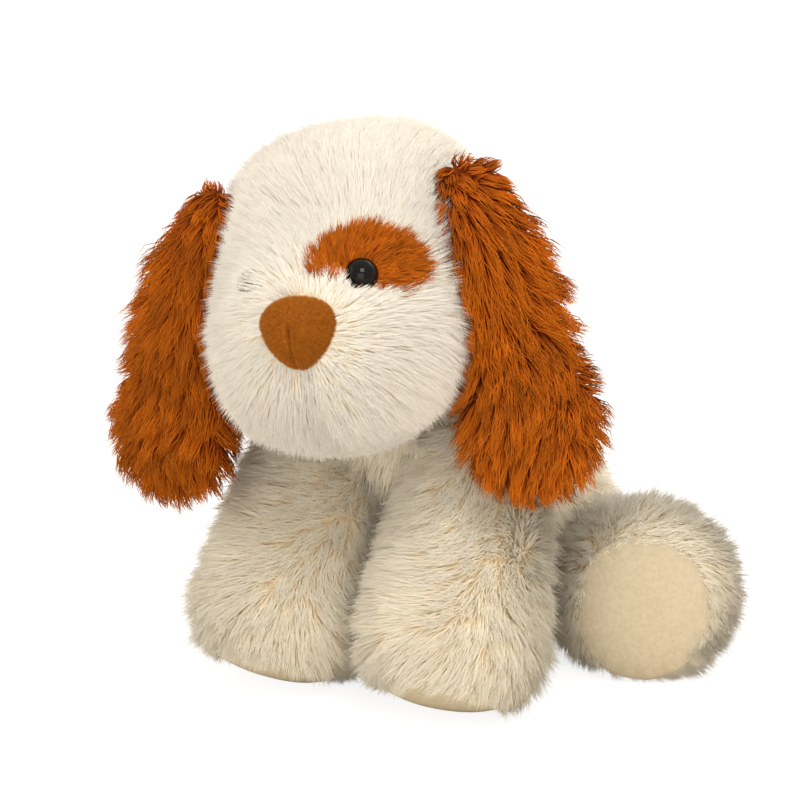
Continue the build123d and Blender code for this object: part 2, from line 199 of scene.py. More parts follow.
def spread_roots(form, count):
    """Places spread evenly over a drop form: along follows the running sum of the outline's width."""
    steps = np.linspace(0, 1, 1500)
    rings, _ = drop_skin(form, np.zeros_like(steps), steps)
    first, axis = np.array(form[0]), unit(np.array(form[2]) - np.array(form[0]))
    width = np.linalg.norm(np.cross(rings - first, axis), axis=1)
    share = np.cumsum(width)
    along = np.interp(chance.random(count), share / share[-1], steps)
    return drop_skin(form, chance.random(count) * 2 * np.pi, along)


def combed(outward, way):
    """The part of a way to comb that lies in the cloth."""
    way = np.broadcast_to(way, outward.shape)
    return unit(way - outward * np.sum(way * outward, axis=1, keepdims=True) + 1e-9)


def swirled(points, outward, comb, amount, grain):
    """The combed way turned in the cloth by a smooth wandering angle, a sum of waves across space."""
    angle = np.zeros(len(points))
    for wave, phase in zip(chance.normal(0, 1 / grain, (5, 3)), chance.random(5) * 6.28):
        angle += amount * np.sin(points @ wave + phase) / 2
    return comb * np.cos(angle)[:, None] + np.cross(outward, comb) * np.sin(angle)[:, None]


def tufts(name, roots, outward, comb, length, width, lean, pitch, pull, frizz, levels):
    """A pile of hairs as thin three-sided spikes. A hair starts leaning lean[0] from straight out and ends
    leaning lean[1] towards its combed way. The hairs within about pitch of each other draw together by pull
    towards the tip of one of them, which gives the tufts, and frizz strays their points by a share of the
    length. The map OFBake holds a hair's own shade across and its height up."""
    count, levels, floor_gap = len(roots), np.array(levels), 0.0005
    length = np.broadcast_to(length, count) * chance.uniform(0.8, 1.12, count)
    middle = (levels[1:] + levels[:-1]) / 2
    angle = lean[0] + (lean[1] - lean[0]) * middle[None] + chance.normal(0, 0.13, (count, 1))
    angle = np.clip(angle, 0.02, 1.5)
    way = outward[:, None] * np.cos(angle)[..., None] + comb[:, None] * np.sin(angle)[..., None]
    moves = way * (length[:, None] * np.diff(levels)[None])[..., None]
    paths = np.concatenate([np.zeros((count, 1, 3)), np.cumsum(moves, axis=1)], axis=1) + roots[:, None]
    spread = np.ptp(roots, axis=0)
    area = 2.0 * (spread[0] * spread[1] + spread[1] * spread[2] + spread[0] * spread[2]) * 0.75
    leaders = chance.choice(count, max(4, min(count, int(area / pitch**2))), replace=False)
    nearest = np.empty(count, int)
    batch = 4000
    for start in range(0, count, batch):
        part = roots[start:start + batch]
        apart = ((part[:, None] - roots[leaders][None]) ** 2).sum(-1)
        nearest[start:start + batch] = apart.argmin(1)
    lead = paths[leaders][nearest]
    paths += (pull * levels**1.4)[None, :, None] * chance.uniform(0.6, 1.1, (count, 1, 1)) * (lead - paths)
    paths += chance.normal(0, 1, paths.shape) * (frizz * levels)[None, :, None] * length[:, None, None]
    paths[..., 2] = np.maximum(paths[..., 2], floor_gap)
    ahead = unit(np.gradient(paths, axis=1))
    across = unit(np.cross(ahead, outward[:, None]) + 1e-6)
    beside = np.cross(ahead, across)
    thick = width * chance.uniform(0.75, 1.2, (count, 1)) * (1 - levels[None, :-1] ** 1.6)
    corner = np.arange(3) * 2 * np.pi / 3
    ring = across[:, :-1, None] * np.cos(corner)[:, None] + beside[:, :-1, None] * np.sin(corner)[:, None]
    bands = len(levels) - 1
    sides = paths[:, :-1, None] + ring * thick[..., None, None]
    points = np.concatenate([sides.reshape(count, -1, 3), paths[:, -1:]], axis=1)
    points[..., 2] = np.maximum(points[..., 2], floor_gap / 2)
    each = bands * 3 + 1
    here, after = np.arange(3), (np.arange(3) + 1) % 3
    one = [np.array([[0, 2, 1]])]
    for band in range(bands - 1):
        low, high = band * 3, band * 3 + 3
        one.append(np.stack([low + here, low + after, high + after], -1))
        one.append(np.stack([low + here, high + after, high + here], -1))
    low = (bands - 1) * 3
    one.append(np.stack([low + here, low + after, np.full(3, each - 1)], -1))
    one = np.concatenate(one)
    faces = (one[None] + np.arange(count)[:, None, None] * each).reshape(-1, 3)
    piece = shaped_mesh(name, points.reshape(-1, 3), faces)
    tuft_shade = chance.normal(0, 0.16, len(leaders))[nearest]
    shade = np.clip(0.5 + tuft_shade + chance.normal(0, 0.12, count), 0.03, 0.97)
    own = np.concatenate([np.tile([-0.012, 0.0, 0.012], bands), [0.0]])
    height = np.concatenate([np.repeat(levels[:-1], 3), [1.0]])
    chart = np.stack([
        np.broadcast_to(shade[:, None] + own[None], (count, each)),
        np.broadcast_to(0.02 + 0.96 * height[None], (count, each)),
    ], -1).reshape(-1, 2)
    chart_layer = piece.data.uv_layers.new(name="OFBake")
    chart_layer.data.foreach_set("uv", chart[faces.ravel()].astype(np.float32).ravel())
    facing = np.concatenate([ring.reshape(count, -1, 3), ahead[:, -1:]], axis=1)
    facing = unit(facing * 0.42 + outward[:, None] * 0.85)
    piece.data.normals_split_custom_set_from_vertices(facing.reshape(-1, 3).astype(np.float32))
    return piece


def pile_material(name, shaded_root_colour, middle_colour, tip_colour, dark, light):
    """Hair that darkens to its root, painted shade for the shade deep in the pile, with tufts of slightly
    different shades, from dark to light times its colour. Height up the hair and the hair's own shade come
    from the map OFBake."""
    material = bpy.data.materials.new(name)
    material.use_nodes = True
    nodes, links = material.node_tree.nodes, material.node_tree.links
    shader = nodes["Principled BSDF"]
    chart = nodes.new("ShaderNodeUVMap")
    chart.uv_map = "OFBake"
    split = nodes.new("ShaderNodeSeparateXYZ")
    links.new(chart.outputs["UV"], split.inputs[0])
    height = nodes.new("ShaderNodeValToRGB")
    height.color_ramp.elements[0].color = (*shaded_root_colour, 1)
    height.color_ramp.elements[1].color = (*tip_colour, 1)
    between = height.color_ramp.elements.new(0.42)
    between.color = (*middle_colour, 1)
    links.new(split.outputs["Y"], height.inputs["Fac"])
    shade = nodes.new("ShaderNodeMapRange")
    shade.inputs["To Min"].default_value, shade.inputs["To Max"].default_value = dark, light
    links.new(split.outputs["X"], shade.inputs["Value"])
    tinted = nodes.new("ShaderNodeVectorMath")
    tinted.operation = "SCALE"
    links.new(height.outputs["Color"], tinted.inputs[0])
    links.new(shade.outputs["Result"], tinted.inputs["Scale"])
    links.new(tinted.outputs["Vector"], shader.inputs["Base Color"])
    shader.inputs["Roughness"].default_value = 0.85
    shader.inputs["Specular IOR Level"].default_value = 0.12
    return material


def backing_material(name, colour, deep_colour):
    """The knitted backing with the roots of the pile: fine mottling of two shades and a close grain."""
    material = bpy.data.materials.new(name)
    material.use_nodes = True
    nodes, links = material.node_tree.nodes, material.node_tree.links
    shader = nodes["Principled BSDF"]
    place = nodes.new("ShaderNodeTexCoord")
    mottle = nodes.new("ShaderNodeTexNoise")
    mottle.inputs["Scale"].default_value = 420.0
    mottle.inputs["Detail"].default_value = 3.0
    links.new(place.outputs["Object"], mottle.inputs["Vector"])
    tone = nodes.new("ShaderNodeValToRGB")
    tone.color_ramp.elements[0].position, tone.color_ramp.elements[0].color = 0.35, (*deep_colour, 1)
    tone.color_ramp.elements[1].position, tone.color_ramp.elements[1].color = 0.65, (*colour, 1)
    links.new(mottle.outputs["Fac"], tone.inputs["Fac"])
    links.new(tone.outputs["Color"], shader.inputs["Base Color"])
    grain = nodes.new("ShaderNodeBump")
    grain.inputs["Strength"].default_value = 0.5
    grain.inputs["Distance"].default_value = 0.0008
    links.new(mottle.outputs["Fac"], grain.inputs["Height"])
    links.new(grain.outputs["Normal"], shader.inputs["Normal"])
    shader.inputs["Roughness"].default_value = 0.95
    shader.inputs["Specular IOR Level"].default_value = 0.1
    return material


# The cream plush of the body, neck, legs and tail. Its darker, warmer tan at the roots is painted shade for
# the warm shadow deep in the pile between the tufts.
cream_pile = pile_material(
    "cream_pile", (0.84, 0.64, 0.38), (0.955, 0.855, 0.66), (0.98, 0.925, 0.79), 0.88, 1.02)
cream_backing = backing_material("cream_backing", (0.92, 0.80, 0.58), (0.86, 0.70, 0.46))
straight, long_hair = (0, 1), 0.00038


def cover(name, points, faces, material, body, nodes):
    """A stuffed cover that stands for its CAD panels."""
    points = points.copy()
    points[:, 2] = np.maximum(points[:, 2], 0.0002)
    piece = shaped_mesh(name, points, faces)
    piece.data.materials.append(material)
    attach(piece, body)
    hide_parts(*nodes)
    return piece


def pile(name, material, body, slot, *shape):
    """A pile of tufts that rides on a body."""
    piece = tufts(name, *shape)
    piece.data.materials.append(material)
    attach(piece, body)
    return piece


def depth_in(points, form):
    """How deep each point lies in a drop form: the radius at the nearest place on its axis less the distance
    to it."""
    first, first_radius, second, second_radius = form
    line = np.array(second) - np.array(first)
    share = np.clip((points - np.array(first)) @ line / (line @ line), 0, 1)
    away = np.linalg.norm(points - np.array(first) - share[:, None] * line, axis=1)
    return first_radius + (second_radius - first_radius) * share - away


body_form = ((0, 0, 0.062), 0.062, (0, -0.070, 0.138), 0.044)
body_points, _ = bag_points(body_form, 60, 72)
cover("body_cover", body_points, closed_grid(60, 72), cream_backing, "body",
      ("body_left_panel", "body_right_panel", "belly_panel", "body_stuffing"))
roots, outward = spread_roots(body_form, 54000)
kept = roots[:, 2] > 0.002
for way in (1, -1):
    front_leg = ((way * 0.043, -0.085, 0.122), 0.028, (way * 0.048, -0.124, 0.039), 0.040)
    hind_leg = ((way * 0.052, 0.008, 0.042), 0.026, (way * 0.103, -0.018, 0.042), 0.040)
    kept &= (depth_in(roots, front_leg) < 0.004) & (depth_in(roots, hind_leg) < 0.004)
roots, outward = roots[kept], outward[kept]
comb = swirled(roots, outward, combed(outward, np.array([0, 0.35, -1.0])), 0.5, 0.03)
pile("body_pile", cream_pile, "body", "cream_fur", roots, outward, comb, 0.0175, long_hair, (0.45, 1.15),
     0.0085, 0.70, 0.10, straight)


# ---------------------------------------------------------------- neck
# The neck is a firm ball of the same plush, stuffed and closed by a ring of thread. It is sewn between the
# body and the head, and the head turns and nods on it.
neck_middle, neck_radius = np.array([0, -0.090, 0.173]), 0.027
neck_form = (tuple(neck_middle), neck_radius, tuple(neck_middle + [0, -0.001, 0.001]), neck_radius)
neck_points, _ = bag_points(neck_form, 24, 40)
cover("neck_ball", neck_points, closed_grid(24, 40), cream_backing, "neck",
      ("neck_cover", "neck_stuffing"))
roots, outward = spread_roots(neck_form, 7000)
comb = swirled(roots, outward, combed(outward, np.array([0, 0.0, -1.0])), 0.4, 0.03)
pile("neck_pile", cream_pile, "neck", "cream_fur", roots, outward, comb, 0.011, 0.0004, (0.5, 1.2),
     0.006, 0.5, 0.10, straight)


# ---------------------------------------------------------------- front legs
# Each front leg is a stout tube of plush that widens to the paw, sewn into the body at the shoulder and
# stuffed soft, with a round smooth sole sewn across its end. The pile falls down the leg in tufts.
sole_cloth = backing_material("sole_cloth", (0.56, 0.485, 0.35), (0.51, 0.435, 0.305))


def sole_pad(name, centre, facing, radius, bulge, body, node, tall=1.0):
    """A round pad: a low dome whose height falls as one less the fourth power of the way out to the seam,
    with small gathers at the seam, and a flat back. tall is its height over its width. It is pressed flat
    where it meets the floor."""
    facing = unit(np.array(facing))
    upright = unit(np.array([0, 0, 1.0]) - facing * facing[2])
    side = np.cross(upright, facing)
    rows, columns, dome_rows, back = 30, 96, 24, -0.0035
    dome = np.arange(1, dome_rows + 1) / dome_rows
    out = np.repeat(np.concatenate([dome, [1.01, 1.0, 0.8, 0.6, 0.4, 0.2]]), columns)
    ring = np.repeat(np.arange(rows), columns)
    around = np.tile(np.arange(columns) / columns * 2 * np.pi, rows)
    high = np.where(ring < dome_rows, bulge * (1 - out**4) * (0.9 + 0.1 * np.cos(out * np.pi)), back)
    high = np.where(ring == dome_rows, -0.0015, high)
    gather = 0.0006 * np.sin(around * 17 + 1.3 * np.sin(around * 3)) * np.clip((out - 0.7) / 0.3, 0, 1)
    high = high + np.where(ring < dome_rows, gather, 0)
    spoke = side * np.cos(around)[:, None] + tall * upright * np.sin(around)[:, None]
    points = np.array(centre) + radius * out[:, None] * spoke + facing * high[:, None]
    top, bottom = np.array(centre) + facing * bulge, np.array(centre) + facing * back
    points = np.concatenate([top[None], points, bottom[None]])
    points[:, 2] = np.maximum(points[:, 2], 0.0003)
    piece = shaped_mesh(name, points, closed_grid(rows, columns)[:, ::-1])
    piece.data.materials.append(sole_cloth)
    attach(piece, body)
    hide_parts(node)
    return piece


for side, way in (("left", 1), ("right", -1)):
    leg = f"{side}_front_leg"
    line = np.array([way * 0.05234, -0.42204, -0.90507])
    shoulder = np.array([way * 0.043, -0.085, 0.122])
    paw, sole_middle = shoulder + line * 0.09143, shoulder + line * 0.119
    form = (tuple(shoulder), 0.028, tuple(paw), 0.040)
    points, _ = bag_points(form, 50, 64)
    past = np.maximum((points - sole_middle) @ line, 0)
    points = points - past[:, None] * line
    cover(f"{leg}_cover", points, closed_grid(50, 64), cream_backing, leg,
          (f"{leg}_outer_panel", f"{leg}_inner_panel", f"{leg}_stuffing"))
    sole_pad(f"{side}_front_pad", sole_middle, line, 0.0335, 0.009, leg, f"{side}_front_sole")
    roots, outward = spread_roots(form, 46000)
    kept = ((roots - sole_middle) @ line < -0.001) & (roots[:, 2] > 0.001)
    kept &= depth_in(roots, body_form) < 0.008
    roots, outward = roots[kept], outward[kept]
    comb = swirled(roots, outward, combed(outward, line + [way * 0.12, -0.05, 0]), 0.75, 0.022)
    near_sole = np.clip(((roots - sole_middle) @ line + 0.012) / 0.012, 0, 1)
    pile(f"{leg}_pile", cream_pile, leg, "cream_fur", roots, outward, comb, 0.0150 - 0.006 * near_sole,
         long_hair, (0.45, 1.2), 0.0080, 0.66, 0.13, straight)


# ---------------------------------------------------------------- hind legs
# The hind legs lie out to the sides. Each is one tube of plush with its foot turned up to the front, and a
# round sole of smooth short-pile cloth that the long pile fringes all round.
for side, way in (("left", 1), ("right", -1)):
    leg = f"{side}_hind_leg"
    facing = np.array([way * 0.37461, -0.92718, 0.0])
    hip, foot = np.array([way * 0.052, 0.008, 0.042]), np.array([way * 0.103, -0.018, 0.042])
    sole_middle = foot + facing * 0.02632
    form = (tuple(hip), 0.026, tuple(foot), 0.040)
    points, _ = bag_points(form, 50, 64)
    past = np.maximum((points - sole_middle) @ facing + 0.001, 0)
    points = points - past[:, None] * facing
    cover(f"{leg}_cover", points, closed_grid(50, 64), cream_backing, leg,
          (f"{leg}_outer_panel", f"{leg}_inner_panel", f"{leg}_stuffing"))
    sole_pad(f"{side}_hind_pad", sole_middle - [0, 0, 0.0015], facing, 0.0345, 0.010, leg,
             f"{side}_hind_sole", 1.09)
    roots, outward = spread_roots(form, 41000)
    kept = ((roots - sole_middle) @ facing < -0.001) & (roots[:, 2] > 0.0015)
    kept &= depth_in(roots, body_form) < 0.008
    roots, outward = roots[kept], outward[kept]
    comb = swirled(roots, outward, combed(outward, facing * 0.25 + [way * 0.5, 0, -0.5]), 0.7, 0.025)
    near_sole = np.clip(((roots - sole_middle) @ facing + 0.020) / 0.020, 0, 1)
    outward = unit(outward + np.outer(near_sole * 0.2, facing))
    comb = unit(comb - outward * np.sum(comb * outward, axis=1, keepdims=True))
    pile(f"{leg}_pile", cream_pile, leg, "cream_fur", roots, outward, comb, 0.0150 - 0.006 * near_sole,
         long_hair, (0.42, 1.1), 0.0078, 0.64, 0.13, straight)


# ---------------------------------------------------------------- tail
# The tail is short and round, two panels of the same plush with a little filling, closed and sewn low on the
# rump. Its pile is combed out to the tip.
tail_form = ((0, 0.058, 0.052), 0.010, (0, 0.08906, 0.06583), 0.012)
tail_points, _ = bag_points(tail_form, 24, 32)
cover("tail_cover", tail_points, closed_grid(24, 32), cream_backing, "tail",
      ("tail_upper_panel", "tail_lower_panel", "tail_stuffing"))
roots, outward = spread_roots(tail_form, 6500)
comb = swirled(roots, outward, combed(outward, np.array([0, 0.9, 0.1])), 0.5, 0.02)
pile("tail_pile", cream_pile, "tail", "cream_fur", roots, outward, comb, 0.015, 0.0004, (0.40, 1.0),
     0.0065, 0.6, 0.10, straight)


# ---------------------------------------------------------------- head
# The head is a round cranium that runs into a full muzzle, sewn from two cheeks and a gusset over the crown,
# and stuffed firm. Its pile is brushed away from the nose, short round the nose and the left eye, longer over
# the right eye, and longer and brushed down behind.
def seat_head(points, as_way=False):
    """Turns a point of the upright head to its place: tilted 8 degrees over its right side, then turned 12
    degrees to its left, both about the neck's middle. A way is only turned."""
    tilt, turn = math.radians(-8), math.radians(12)
    about_y = np.array([[math.cos(tilt), 0, math.sin(tilt)], [0, 1, 0], [-math.sin(tilt), 0, math.cos(tilt)]])
    about_z = np.array([[math.cos(turn), -math.sin(turn), 0], [math.sin(turn), math.cos(turn), 0], [0, 0, 1]])
    spin = (about_z @ about_y).T
    return points @ spin if as_way else (points - neck_middle) @ spin + neck_middle


cranium, muzzle, head_radius = np.array([0, -0.136, 0.234]), np.array([0, -0.177, 0.196]), 0.052
eye_seats = {}
eye_around, eye_pitch = math.radians(30), math.radians(42)
for side, way in (("left", 1), ("right", -1)):
    eye_facing = np.array([way * math.sin(eye_around), -math.cos(eye_around) * math.cos(eye_pitch),
                           math.cos(eye_around) * math.sin(eye_pitch)])
    eye_seats[side] = (muzzle + eye_facing * 0.056, eye_facing)
nose_pitch = math.radians(17)
nose_way = np.array([0, -math.cos(nose_pitch), math.sin(nose_pitch)])
nose_down = np.array([0, -math.sin(nose_pitch), -math.cos(nose_pitch)])
nose_seat = muzzle + nose_way * head_radius + nose_down * 0.004


def hump(points, middle, width):
    """A smooth round bump, one at its middle, that fades with the square of the distance."""
    return np.exp(-((points - middle) ** 2).sum(1) / width**2)


def modelled_head(points, outward):
    """The plain head form pushed out and in: fuller cheeks below the nose with a crease between them, a brow
    over each eye, full temples, a shallow stop between the eyes and a lower crown."""
    push = np.zeros(len(points))
    for way in (1, -1):
        push += 0.0050 * hump(points, muzzle + np.array([way * 0.024, -0.040, -0.018]), 0.022)
        push += 0.0035 * hump(points, cranium + np.array([way * 0.024, -0.052, 0.030]), 0.018)
        temple = cranium + np.array([way * 0.038, -0.006, 0.034])
        push += (0.0045 + 0.0015 * way) * hump(points, temple, 0.022)
    for seat, _ in eye_seats.values():
        push -= 0.0035 * hump(points, seat, 0.012)
    push -= 0.0030 * hump(points, cranium + np.array([0, -0.068, 0.008]), 0.016)
    push -= 0.0025 * hump(points, cranium + np.array([0, 0, 0.052]), 0.020)
    crease = np.exp(-(points[:, 0] / 0.0045) ** 2)
    crease = crease * np.clip((nose_seat[2] - 0.008 - points[:, 2]) / 0.012, 0, 1)
    crease *= np.clip((-0.190 - points[:, 1]) / 0.02, 0, 1)
    return points + outward * (push - 0.006 * crease)[:, None]


head_form = (tuple(cranium), head_radius, tuple(muzzle), head_radius)
head_points, head_outward = bag_points(head_form, 90, 120)
head_points = modelled_head(head_points, head_outward)
cover("head_cover", seat_head(head_points), closed_grid(90, 120), cream_backing, "head",
      ("face_left_panel", "face_right_panel", "crown_gusset", "chin_gusset", "head_stuffing"))


patch_seat, patch_facing = eye_seats["left"]
patch_across = unit(np.cross([0, 0, 1], patch_facing))
patch_upward = np.cross(patch_facing, patch_across)
patch_shift, patch_lift = 0.001, 0.004


def patch_reach(angle):
    """How far the patch runs from its middle at each angle: an oval, longer on the ear's side, cut off below
    by a slanting straight edge that drops towards the cheek."""
    wide = np.where(np.cos(angle) > 0, 0.0275, 0.0205)
    oval = 1 / np.sqrt((np.cos(angle) / wide) ** 2 + (np.sin(angle) / 0.0165) ** 2)
    below = np.maximum(-np.sin(angle) - 0.45 * np.cos(angle), 1e-3)
    return np.minimum(oval, 0.0098 / below)


def patch_edge(points):
    """How far inside the patch's outline each place is, in metres, and well outside for the far side of the
    head."""
    x = (points - patch_seat) @ patch_across - patch_shift
    y = (points - patch_seat) @ patch_upward - patch_lift
    edge = patch_reach(np.arctan2(y, x)) - np.hypot(x, y)
    return np.where((points - patch_seat) @ patch_facing > -0.030, edge, -1.0)


# The head's cream pile is whiter than the body's. It too darkens to its roots in painted shade, but less.
face_pile = pile_material(
    "face_pile", (0.88, 0.73, 0.52), (0.955, 0.895, 0.77), (0.98, 0.95, 0.88), 0.91, 1.02)
head_roots, head_out = spread_roots(head_form, 128000)
head_roots = modelled_head(head_roots, head_out)
from_nose = np.linalg.norm(head_roots - nose_seat, axis=1)
from_eye = np.minimum(*(np.linalg.norm(head_roots - seat, axis=1) for seat, _ in eye_seats.values()))
inside_patch = patch_edge(head_roots) + chance.normal(0, 0.0012, len(head_roots)) > 0
left_eye = np.linalg.norm(head_roots - eye_seats["left"][0], axis=1)
head_length = 0.0135 * np.clip((left_eye - 0.002) / 0.016, 0.4, 1)
head_length *= np.clip((from_nose - 0.006) / 0.022, 0.5, 1)
over_right_eye = eye_seats["right"][0] + np.array([0.009, -0.005, -0.002])
head_length += 0.0060 * hump(head_roots, over_right_eye, 0.009)
on_crown = np.clip((head_roots[:, 2] - 0.262) / 0.022, 0, 1)
on_chin = np.clip((0.168 - head_roots[:, 2]) / 0.02, 0, 1)
head_length *= 1 - 0.42 * on_crown - 0.30 * on_chin
behind = np.clip((head_roots[:, 1] + 0.160) / 0.045, 0, 1)
head_length *= 1 + 0.38 * behind
brushed = unit(head_roots - nose_seat) + [0, 0.1, -0.35] - np.outer(behind, [0, 0.5, 0.9])
head_comb = swirled(head_roots, head_out, combed(head_out, brushed), 0.55, 0.022)
clear = (from_eye > 0.0074) & (from_nose > 0.0150)
upper = head_roots[:, 2] > 0.222
for part, kept in (
    ("left_crown", upper & (head_roots[:, 0] > 0)),
    ("right_crown", upper & (head_roots[:, 0] <= 0)),
    ("left_cheek", ~upper & (head_roots[:, 0] > 0)),
    ("right_cheek", ~upper & (head_roots[:, 0] <= 0)),
):
    kept = kept & clear & ~inside_patch
    pile(f"{part}_pile", face_pile, "head", "cream_fur",
         seat_head(head_roots[kept]), seat_head(head_out[kept], True), seat_head(head_comb[kept], True),
         head_length[kept], 0.00034, (0.42, 1.12), 0.0054, 0.58, 0.10, straight)


# ---------------------------------------------------------------- eye patch
# One patch of the ears' rust plush is let into the cream round the left eye. Its pile is combed away from the
# eye and the nose.
# The rust pile darkens to near black at its roots: painted shade for the dark gaps between its locks.
rust_pile = pile_material(
    "rust_pile", (0.12, 0.015, 0.001), (0.35, 0.066, 0.002), (0.56, 0.145, 0.006), 0.52, 1.34)
rust_backing = backing_material("rust_backing", (0.22, 0.045, 0.004), (0.13, 0.024, 0.002))


def onto_head(points):
    """The place on the plain head form nearest to each point, and the way out there: straight away from the
    line between the cranium's and the muzzle's middles."""
    line = muzzle - cranium
    share = np.clip((points - cranium) @ line / (line @ line), 0, 1)
    middle = cranium + share[:, None] * line
    return middle + unit(points - middle) * head_radius, unit(points - middle)


rows, columns, front_rows = 24, 80, 22
out = np.repeat(np.concatenate([np.arange(1, front_rows + 1) / front_rows, [0.98, 0.5]]), columns)
around = np.tile(np.arange(columns) / columns * 2 * np.pi, rows)
patch_middle = patch_seat + patch_across * patch_shift + patch_upward * patch_lift
flat = patch_middle + (out * patch_reach(around) * 0.95)[:, None] * (
    np.outer(np.cos(around), patch_across) + np.outer(np.sin(around), patch_upward))
flat = np.concatenate([patch_middle[None], flat, patch_middle[None]])
laid, laid_out = onto_head(flat)
sunk = np.concatenate([[0.0], np.where(np.repeat(np.arange(rows), columns) < front_rows, 0.0, 1.0), [1.0]])
laid = modelled_head(laid, laid_out) + laid_out * (0.0007 - 0.0025 * sunk)[:, None]
cover("eye_patch_backing", seat_head(laid), closed_grid(rows, columns)[:, ::-1], rust_backing, "head",
      ("eye_patch",))
kept = clear & inside_patch
more_roots, more_out = spread_roots(head_form, 70000)
more_roots = modelled_head(more_roots, more_out)
more = (patch_edge(more_roots) > 0.001) & (np.linalg.norm(more_roots - patch_seat, axis=1) > 0.0078)
patch_roots = np.concatenate([head_roots[kept], more_roots[more]])
patch_out = np.concatenate([head_out[kept], more_out[more]])
patch_comb = combed(patch_out, unit(patch_roots - nose_seat) * 0.6 + unit(patch_roots - patch_seat) * 0.8)
patch_comb = swirled(patch_roots, patch_out, patch_comb, 0.45, 0.02)
patch_eye = np.linalg.norm(patch_roots - patch_seat, axis=1)
patch_length = 0.0115 * np.clip((patch_eye + 0.001) / 0.016, 0.55, 1)
pile("eye_patch_pile", rust_pile, "head", "patch_fur",
     seat_head(patch_roots), seat_head(patch_out, True), seat_head(patch_comb, True),
     patch_length, 0.0004, (0.25, 0.95), 0.0045, 0.6, 0.07, (0, 0.55, 1))


# ---------------------------------------------------------------- nose
# The nose is a stuffed rounded triangle of short velvet cloth, drawn in by one seam down its lower half and
# sewn to the muzzle. Its nap stands under 2 mm.
nose_velvet = backing_material("nose_velvet", (0.31, 0.092, 0.006), (0.22, 0.06, 0.004))
# The nap darkens to its roots: painted shade down among the nap.
nose_fuzz = pile_material(
    "nose_fuzz", (0.22, 0.06, 0.004), (0.34, 0.10, 0.007), (0.46, 0.155, 0.015), 0.80, 1.18)
nose_across = np.array([1.0, 0, 0])


def nose_skin(polar, around):
    """A cushion: a ball seen from the front, wide and flat at the top and narrower below, drawn in along a
    seam from its middle to its lower edge, with small gathers beside the seam."""
    flat_x, flat_y = np.sin(polar) * np.cos(around), np.sin(polar) * np.sin(around)
    deep = np.cos(polar)
    narrow = 1 - 0.20 * np.clip(0.35 - flat_y, 0, 1.35) ** 1.5
    across = 0.0166 * flat_x * narrow
    upward = np.where(flat_y > 0, 0.0140, 0.0178) * flat_y * (1 - 0.10 * np.clip(flat_y, 0, 1) ** 3)
    forward = 0.0150 * np.sign(deep) * np.abs(deep) ** 0.85
    seam = np.exp(-(across / 0.0010) ** 2) * np.clip(-upward / 0.003 + 0.3, 0, 1) * (deep > -0.2)
    gathers = np.sin(across / 0.0017 * 3.14) * np.exp(-(across / 0.006) ** 2)
    gathers = gathers * np.clip(-upward / 0.008, 0, 1)
    forward = forward - 0.0030 * seam + 0.00030 * gathers
    return (nose_seat + nose_across * across[:, None] - nose_down * upward[:, None]
            + nose_way * (forward[:, None] + 0.0015))


rows, columns = 70, 120
polar = np.concatenate([[0.0], np.repeat(np.arange(1, rows + 1) / (rows + 1) * np.pi, columns), [np.pi]])
around = np.concatenate([[0.0], np.tile(np.arange(columns) / columns * 2 * np.pi, rows), [0.0]])
cover("nose", seat_head(nose_skin(polar, around)), closed_grid(rows, columns), nose_velvet, "head",
      ("nose_cover", "nose_stuffing"))
nap_hairs = 9000
polar, around = np.arccos(chance.uniform(-0.15, 1.0, nap_hairs)), chance.uniform(0, 2 * np.pi, nap_hairs)
nap = nose_skin(polar, around)
nap_out = unit(nap - (nose_seat - nose_way * 0.004))
nap_comb = combed(nap_out, nap - nose_skin(np.full(1, 0.02), np.zeros(1)))
pile("nose_nap", nose_fuzz, "head", "nose_cloth",
     seat_head(nap), seat_head(nap_out, True), seat_head(nap_comb, True),
     0.0017, 0.00016, (0.5, 1.1), 0.002, 0.3, 0.08, straight)


# ---------------------------------------------------------------- eyes
# The eyes are moulded domes of polished black plastic, 15 mm across, on a stem that passes through the cloth
# to a washer inside.
eye_plastic = bpy.data.materials.new("eye_plastic")
eye_plastic.use_nodes = True
eye_nodes, eye_links = eye_plastic.node_tree.nodes, eye_plastic.node_tree.links
eye_shader = eye_nodes["Principled BSDF"]
eye_place = eye_nodes.new("ShaderNodeTexCoord")
eye_cloud = eye_nodes.new("ShaderNodeTexNoise")
eye_cloud.inputs["Scale"].default_value = 300.0
eye_links.new(eye_place.outputs["Object"], eye_cloud.inputs["Vector"])
eye_tone = eye_nodes.new("ShaderNodeValToRGB")
eye_tone.color_ramp.elements[0].color = (0.002, 0.0015, 0.0015, 1)
eye_tone.color_ramp.elements[1].color = (0.006, 0.004, 0.003, 1)
eye_links.new(eye_cloud.outputs["Fac"], eye_tone.inputs["Fac"])
eye_links.new(eye_tone.outputs["Color"], eye_shader.inputs["Base Color"])
eye_shader.inputs["Roughness"].default_value = 0.025
eye_shader.inputs["Specular IOR Level"].default_value = 0.16
for side, (seat, facing) in eye_seats.items():
    across = unit(np.cross([0, 0, 1], facing))
    upward = np.cross(facing, across)
    rows, columns, dome_rows, eye_radius, back_radius = 26, 64, 20, 0.0077, 0.0076
    step = np.repeat(np.arange(1, rows + 1), columns)
    around = np.tile(np.arange(columns) / columns * 2 * np.pi, rows)
    bend = np.clip(step / dome_rows, 0, 1) * np.pi / 2
    back = np.where(step == 21, back_radius, back_radius * (1 - (step - 21) / 6))
    out = np.where(step <= dome_rows, eye_radius * np.sin(bend), back)
    high = np.where(step <= dome_rows, 0.0070 * np.cos(bend), -0.0012)
    spoke = across * np.cos(around)[:, None] + upward * np.sin(around)[:, None]
    ball = seat - facing * 0.0036 + out[:, None] * spoke + facing * high[:, None]
    ends = seat + facing * np.array([[0.0030], [-0.0052]])
    ball = np.concatenate([ends[:1], ball, ends[1:]])
    piece = shaped_mesh(f"{side}_eye_dome", seat_head(ball), closed_grid(rows, columns)[:, ::-1])
    piece.data.materials.append(eye_plastic)
    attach(piece, "head")
    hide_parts(f"{side}_eye")


